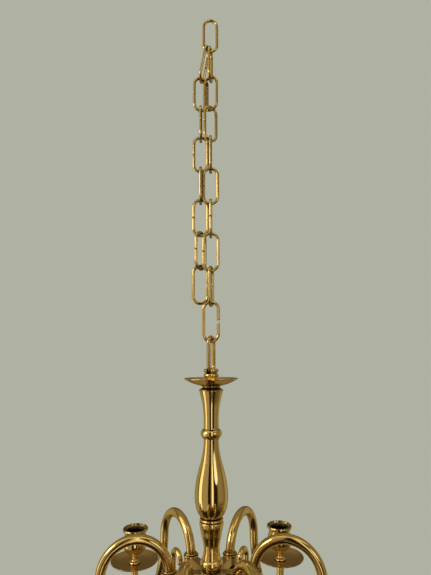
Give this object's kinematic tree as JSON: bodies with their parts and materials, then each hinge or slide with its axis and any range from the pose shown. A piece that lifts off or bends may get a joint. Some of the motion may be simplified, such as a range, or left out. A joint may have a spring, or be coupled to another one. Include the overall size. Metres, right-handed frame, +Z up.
{
  "type": "chandelier",
  "caption": "Hanging candle chandelier: curved tube arms with scrolls, drip pans and candle cups around a turned stem, hung from a folded link chain.",
  "frame": {"origin": "inside top of the top chain link, the point that rests on the hook", "axes": "+Z up, along the stem; the top link lies in the XZ plane"},
  "size_m": [0.469, 0.4468, 0.8093],
  "materials": {
    "chain_brass": "polished wire with soft handling wear",
    "turned_brass": "lacquered and polished, turned on a lathe",
    "spun_brass": "spun sheet, satin polish",
    "tube_brass": "bent tube, hand polished",
    "cast_brass": "cast, satin",
    "rod_steel": "plain steel"
  },
  "bodies": {
    "main_link_1": {"main_link_1": "chain_brass"},
    "main_link_2": {"main_link_2": "chain_brass"},
    "main_link_3": {"main_link_3": "chain_brass"},
    "main_link_4": {"main_link_4": "chain_brass"},
    "main_link_5": {"main_link_5": "chain_brass"},
    "main_link_6": {"main_link_6": "chain_brass"},
    "main_link_7": {"main_link_7": "chain_brass"},
    "main_link_8": {"main_link_8": "chain_brass"},
    "main_link_9": {"main_link_9": "chain_brass"},
    "main_link_10": {"main_link_10": "chain_brass"},
    "slack_link_1": {"slack_link_1": "chain_brass"},
    "slack_link_2": {"slack_link_2": "chain_brass"},
    "slack_link_3": {"slack_link_3": "chain_brass"},
    "slack_link_4": {"slack_link_4": "chain_brass"},
    "slack_link_5": {"slack_link_5": "chain_brass"},
    "slack_link_6": {"slack_link_6": "chain_brass"},
    "slack_link_7": {"slack_link_7": "chain_brass"},
    "slack_link_8": {"slack_link_8": "chain_brass"},
    "stem": {"eye": "chain_brass", "flange_nut": "turned_brass", "top_dish": "spun_brass", "neck_collar": "turned_brass", "upper_spindle": "turned_brass", "knop": "turned_brass", "vase": "turned_brass", "bead": "turned_brass", "lower_spindle": "turned_brass", "hub_ball": "turned_brass", "arm_hub": "cast_brass", "tie_rod": "rod_steel", "hub_nut": "rod_steel", "lower_neck": "turned_brass", "lower_ball": "spun_brass", "finial": "turned_brass"},
    "arm_1": {"arm_1": "tube_brass", "scroll_1": "tube_brass", "pan_1": "spun_brass", "cup_1": "turned_brass"},
    "arm_2": {"arm_2": "tube_brass", "scroll_2": "tube_brass", "pan_2": "spun_brass", "cup_2": "turned_brass"},
    "arm_3": {"arm_3": "tube_brass", "scroll_3": "tube_brass", "pan_3": "spun_brass", "cup_3": "turned_brass"},
    "arm_4": {"arm_4": "tube_brass", "scroll_4": "tube_brass", "pan_4": "spun_brass", "cup_4": "turned_brass"},
    "arm_5": {"arm_5": "tube_brass", "scroll_5": "tube_brass", "pan_5": "spun_brass", "cup_5": "turned_brass"},
    "arm_6": {"arm_6": "tube_brass", "scroll_6": "tube_brass", "pan_6": "spun_brass", "cup_6": "turned_brass"},
    "pendant_ring": {"pendant_ring": "chain_brass"}
  },
  "joints": [
    {"name": "main_swing_2", "type": "hinge", "parent": "main_link_1", "child": "main_link_2", "pos_m": [0, 0, -0.03825], "axis": [0.1736, 0.9848, 0], "range_deg": [-10, 0]},
    {"name": "main_swing_3", "type": "hinge", "parent": "main_link_2", "child": "main_link_3", "pos_m": [0, 0, -0.08215], "axis": [0.1736, 0.9848, 0], "range_deg": [-10, 0]},
    {"name": "main_swing_4", "type": "hinge", "parent": "main_link_3", "child": "main_link_4", "pos_m": [0, 0, -0.11825], "axis": [0.8192, 0.5736, 0], "range_deg": [-10, 0]},
    {"name": "main_swing_5", "type": "hinge", "parent": "main_link_4", "child": "main_link_5", "pos_m": [0, 0, -0.15825], "axis": [0, 1, 0], "range_deg": [-10, 0]},
    {"name": "main_swing_6", "type": "hinge", "parent": "main_link_5", "child": "main_link_6", "pos_m": [0, 0, -0.20215], "axis": [0, 1, 0], "range_deg": [-10, 0]},
    {"name": "main_swing_7", "type": "hinge", "parent": "main_link_6", "child": "main_link_7", "pos_m": [0, 0, -0.23825], "axis": [0, 1, 0], "range_deg": [-10, 0]},
    {"name": "main_swing_8", "type": "hinge", "parent": "main_link_7", "child": "main_link_8", "pos_m": [0, 0, -0.28215], "axis": [0, 1, 0], "range_deg": [-10, 0]},
    {"name": "main_swing_9", "type": "hinge", "parent": "main_link_8", "child": "main_link_9", "pos_m": [0, 0, -0.31825], "axis": [0.225, 0.9744, 0], "range_deg": [-10, 0]},
    {"name": "main_swing_10", "type": "hinge", "parent": "main_link_9", "child": "main_link_10", "pos_m": [0, 0, -0.36215], "axis": [0.225, 0.9744, 0], "range_deg": [-10, 0]},
    {"name": "stem_swing", "type": "hinge", "parent": "main_link_10", "child": "stem", "pos_m": [0, 0, -0.39775], "axis": [0.3907, 0.9205, 0], "range_deg": [-10, 0]},
    {"name": "slack_swing_1", "type": "hinge", "parent": "main_link_1", "child": "slack_link_1", "pos_m": [-0.00343, 0, -0.03658], "axis": [0.1968, 0.9755, 0.098], "range_deg": [0, 10]},
    {"name": "slack_swing_2", "type": "hinge", "parent": "slack_link_1", "child": "slack_link_2", "pos_m": [-0.01199, 0.00601, -0.07921], "axis": [0.1968, 0.9755, 0.098], "range_deg": [0, 10]},
    {"name": "slack_swing_3", "type": "hinge", "parent": "slack_link_2", "child": "slack_link_3", "pos_m": [-0.01199, 0.00601, -0.11531], "axis": [0, 1, 0], "range_deg": [0, 10]},
    {"name": "slack_swing_4", "type": "hinge", "parent": "slack_link_3", "child": "slack_link_4", "pos_m": [-0.01199, 0.00601, -0.15921], "axis": [0, 1, 0], "range_deg": [0, 10]},
    {"name": "slack_swing_5", "type": "hinge", "parent": "slack_link_4", "child": "slack_link_5", "pos_m": [-0.01199, 0.00601, -0.19531], "axis": [0, 1, 0], "range_deg": [0, 10]},
    {"name": "slack_swing_6", "type": "hinge", "parent": "slack_link_5", "child": "slack_link_6", "pos_m": [-0.01199, 0.00601, -0.23921], "axis": [0, 1, 0], "range_deg": [0, 10]},
    {"name": "slack_swing_7", "type": "hinge", "parent": "slack_link_6", "child": "slack_link_7", "pos_m": [-0.01199, 0.00601, -0.27531], "axis": [0.6157, 0.788, 0], "range_deg": [0, 10]},
    {"name": "slack_swing_8", "type": "hinge", "parent": "slack_link_7", "child": "slack_link_8", "pos_m": [-0.01199, 0.00601, -0.31921], "axis": [0.6157, 0.788, 0], "range_deg": [0, 10]},
    {"name": "arm_swivel_1", "type": "hinge", "parent": "stem", "child": "arm_1", "pos_m": [0.04297, 0.00173, -0.638], "axis": [0, 0, 1], "range_deg": [-7, 41]},
    {"name": "arm_swivel_2", "type": "hinge", "parent": "stem", "child": "arm_2", "pos_m": [0.01999, 0.03807, -0.638], "axis": [0, 0, 1], "range_deg": [-24, 24]},
    {"name": "arm_swivel_3", "type": "hinge", "parent": "stem", "child": "arm_3", "pos_m": [-0.02298, 0.03635, -0.638], "axis": [0, 0, 1], "range_deg": [-24, 24]},
    {"name": "arm_swivel_4", "type": "hinge", "parent": "stem", "child": "arm_4", "pos_m": [-0.04297, -0.00173, -0.638], "axis": [0, 0, 1], "range_deg": [-30, 18]},
    {"name": "arm_swivel_5", "type": "hinge", "parent": "stem", "child": "arm_5", "pos_m": [-0.01999, -0.03807, -0.638], "axis": [0, 0, 1], "range_deg": [-46, 2]},
    {"name": "arm_swivel_6", "type": "hinge", "parent": "stem", "child": "arm_6", "pos_m": [0.02298, -0.03635, -0.638], "axis": [0, 0, 1], "range_deg": [-11, 37]},
    {"name": "ring_swing", "type": "hinge", "parent": "stem", "child": "pendant_ring", "pos_m": [0, 0, -0.7718], "axis": [1, 0, 0], "range_deg": [-75, 75]}
  ]
}
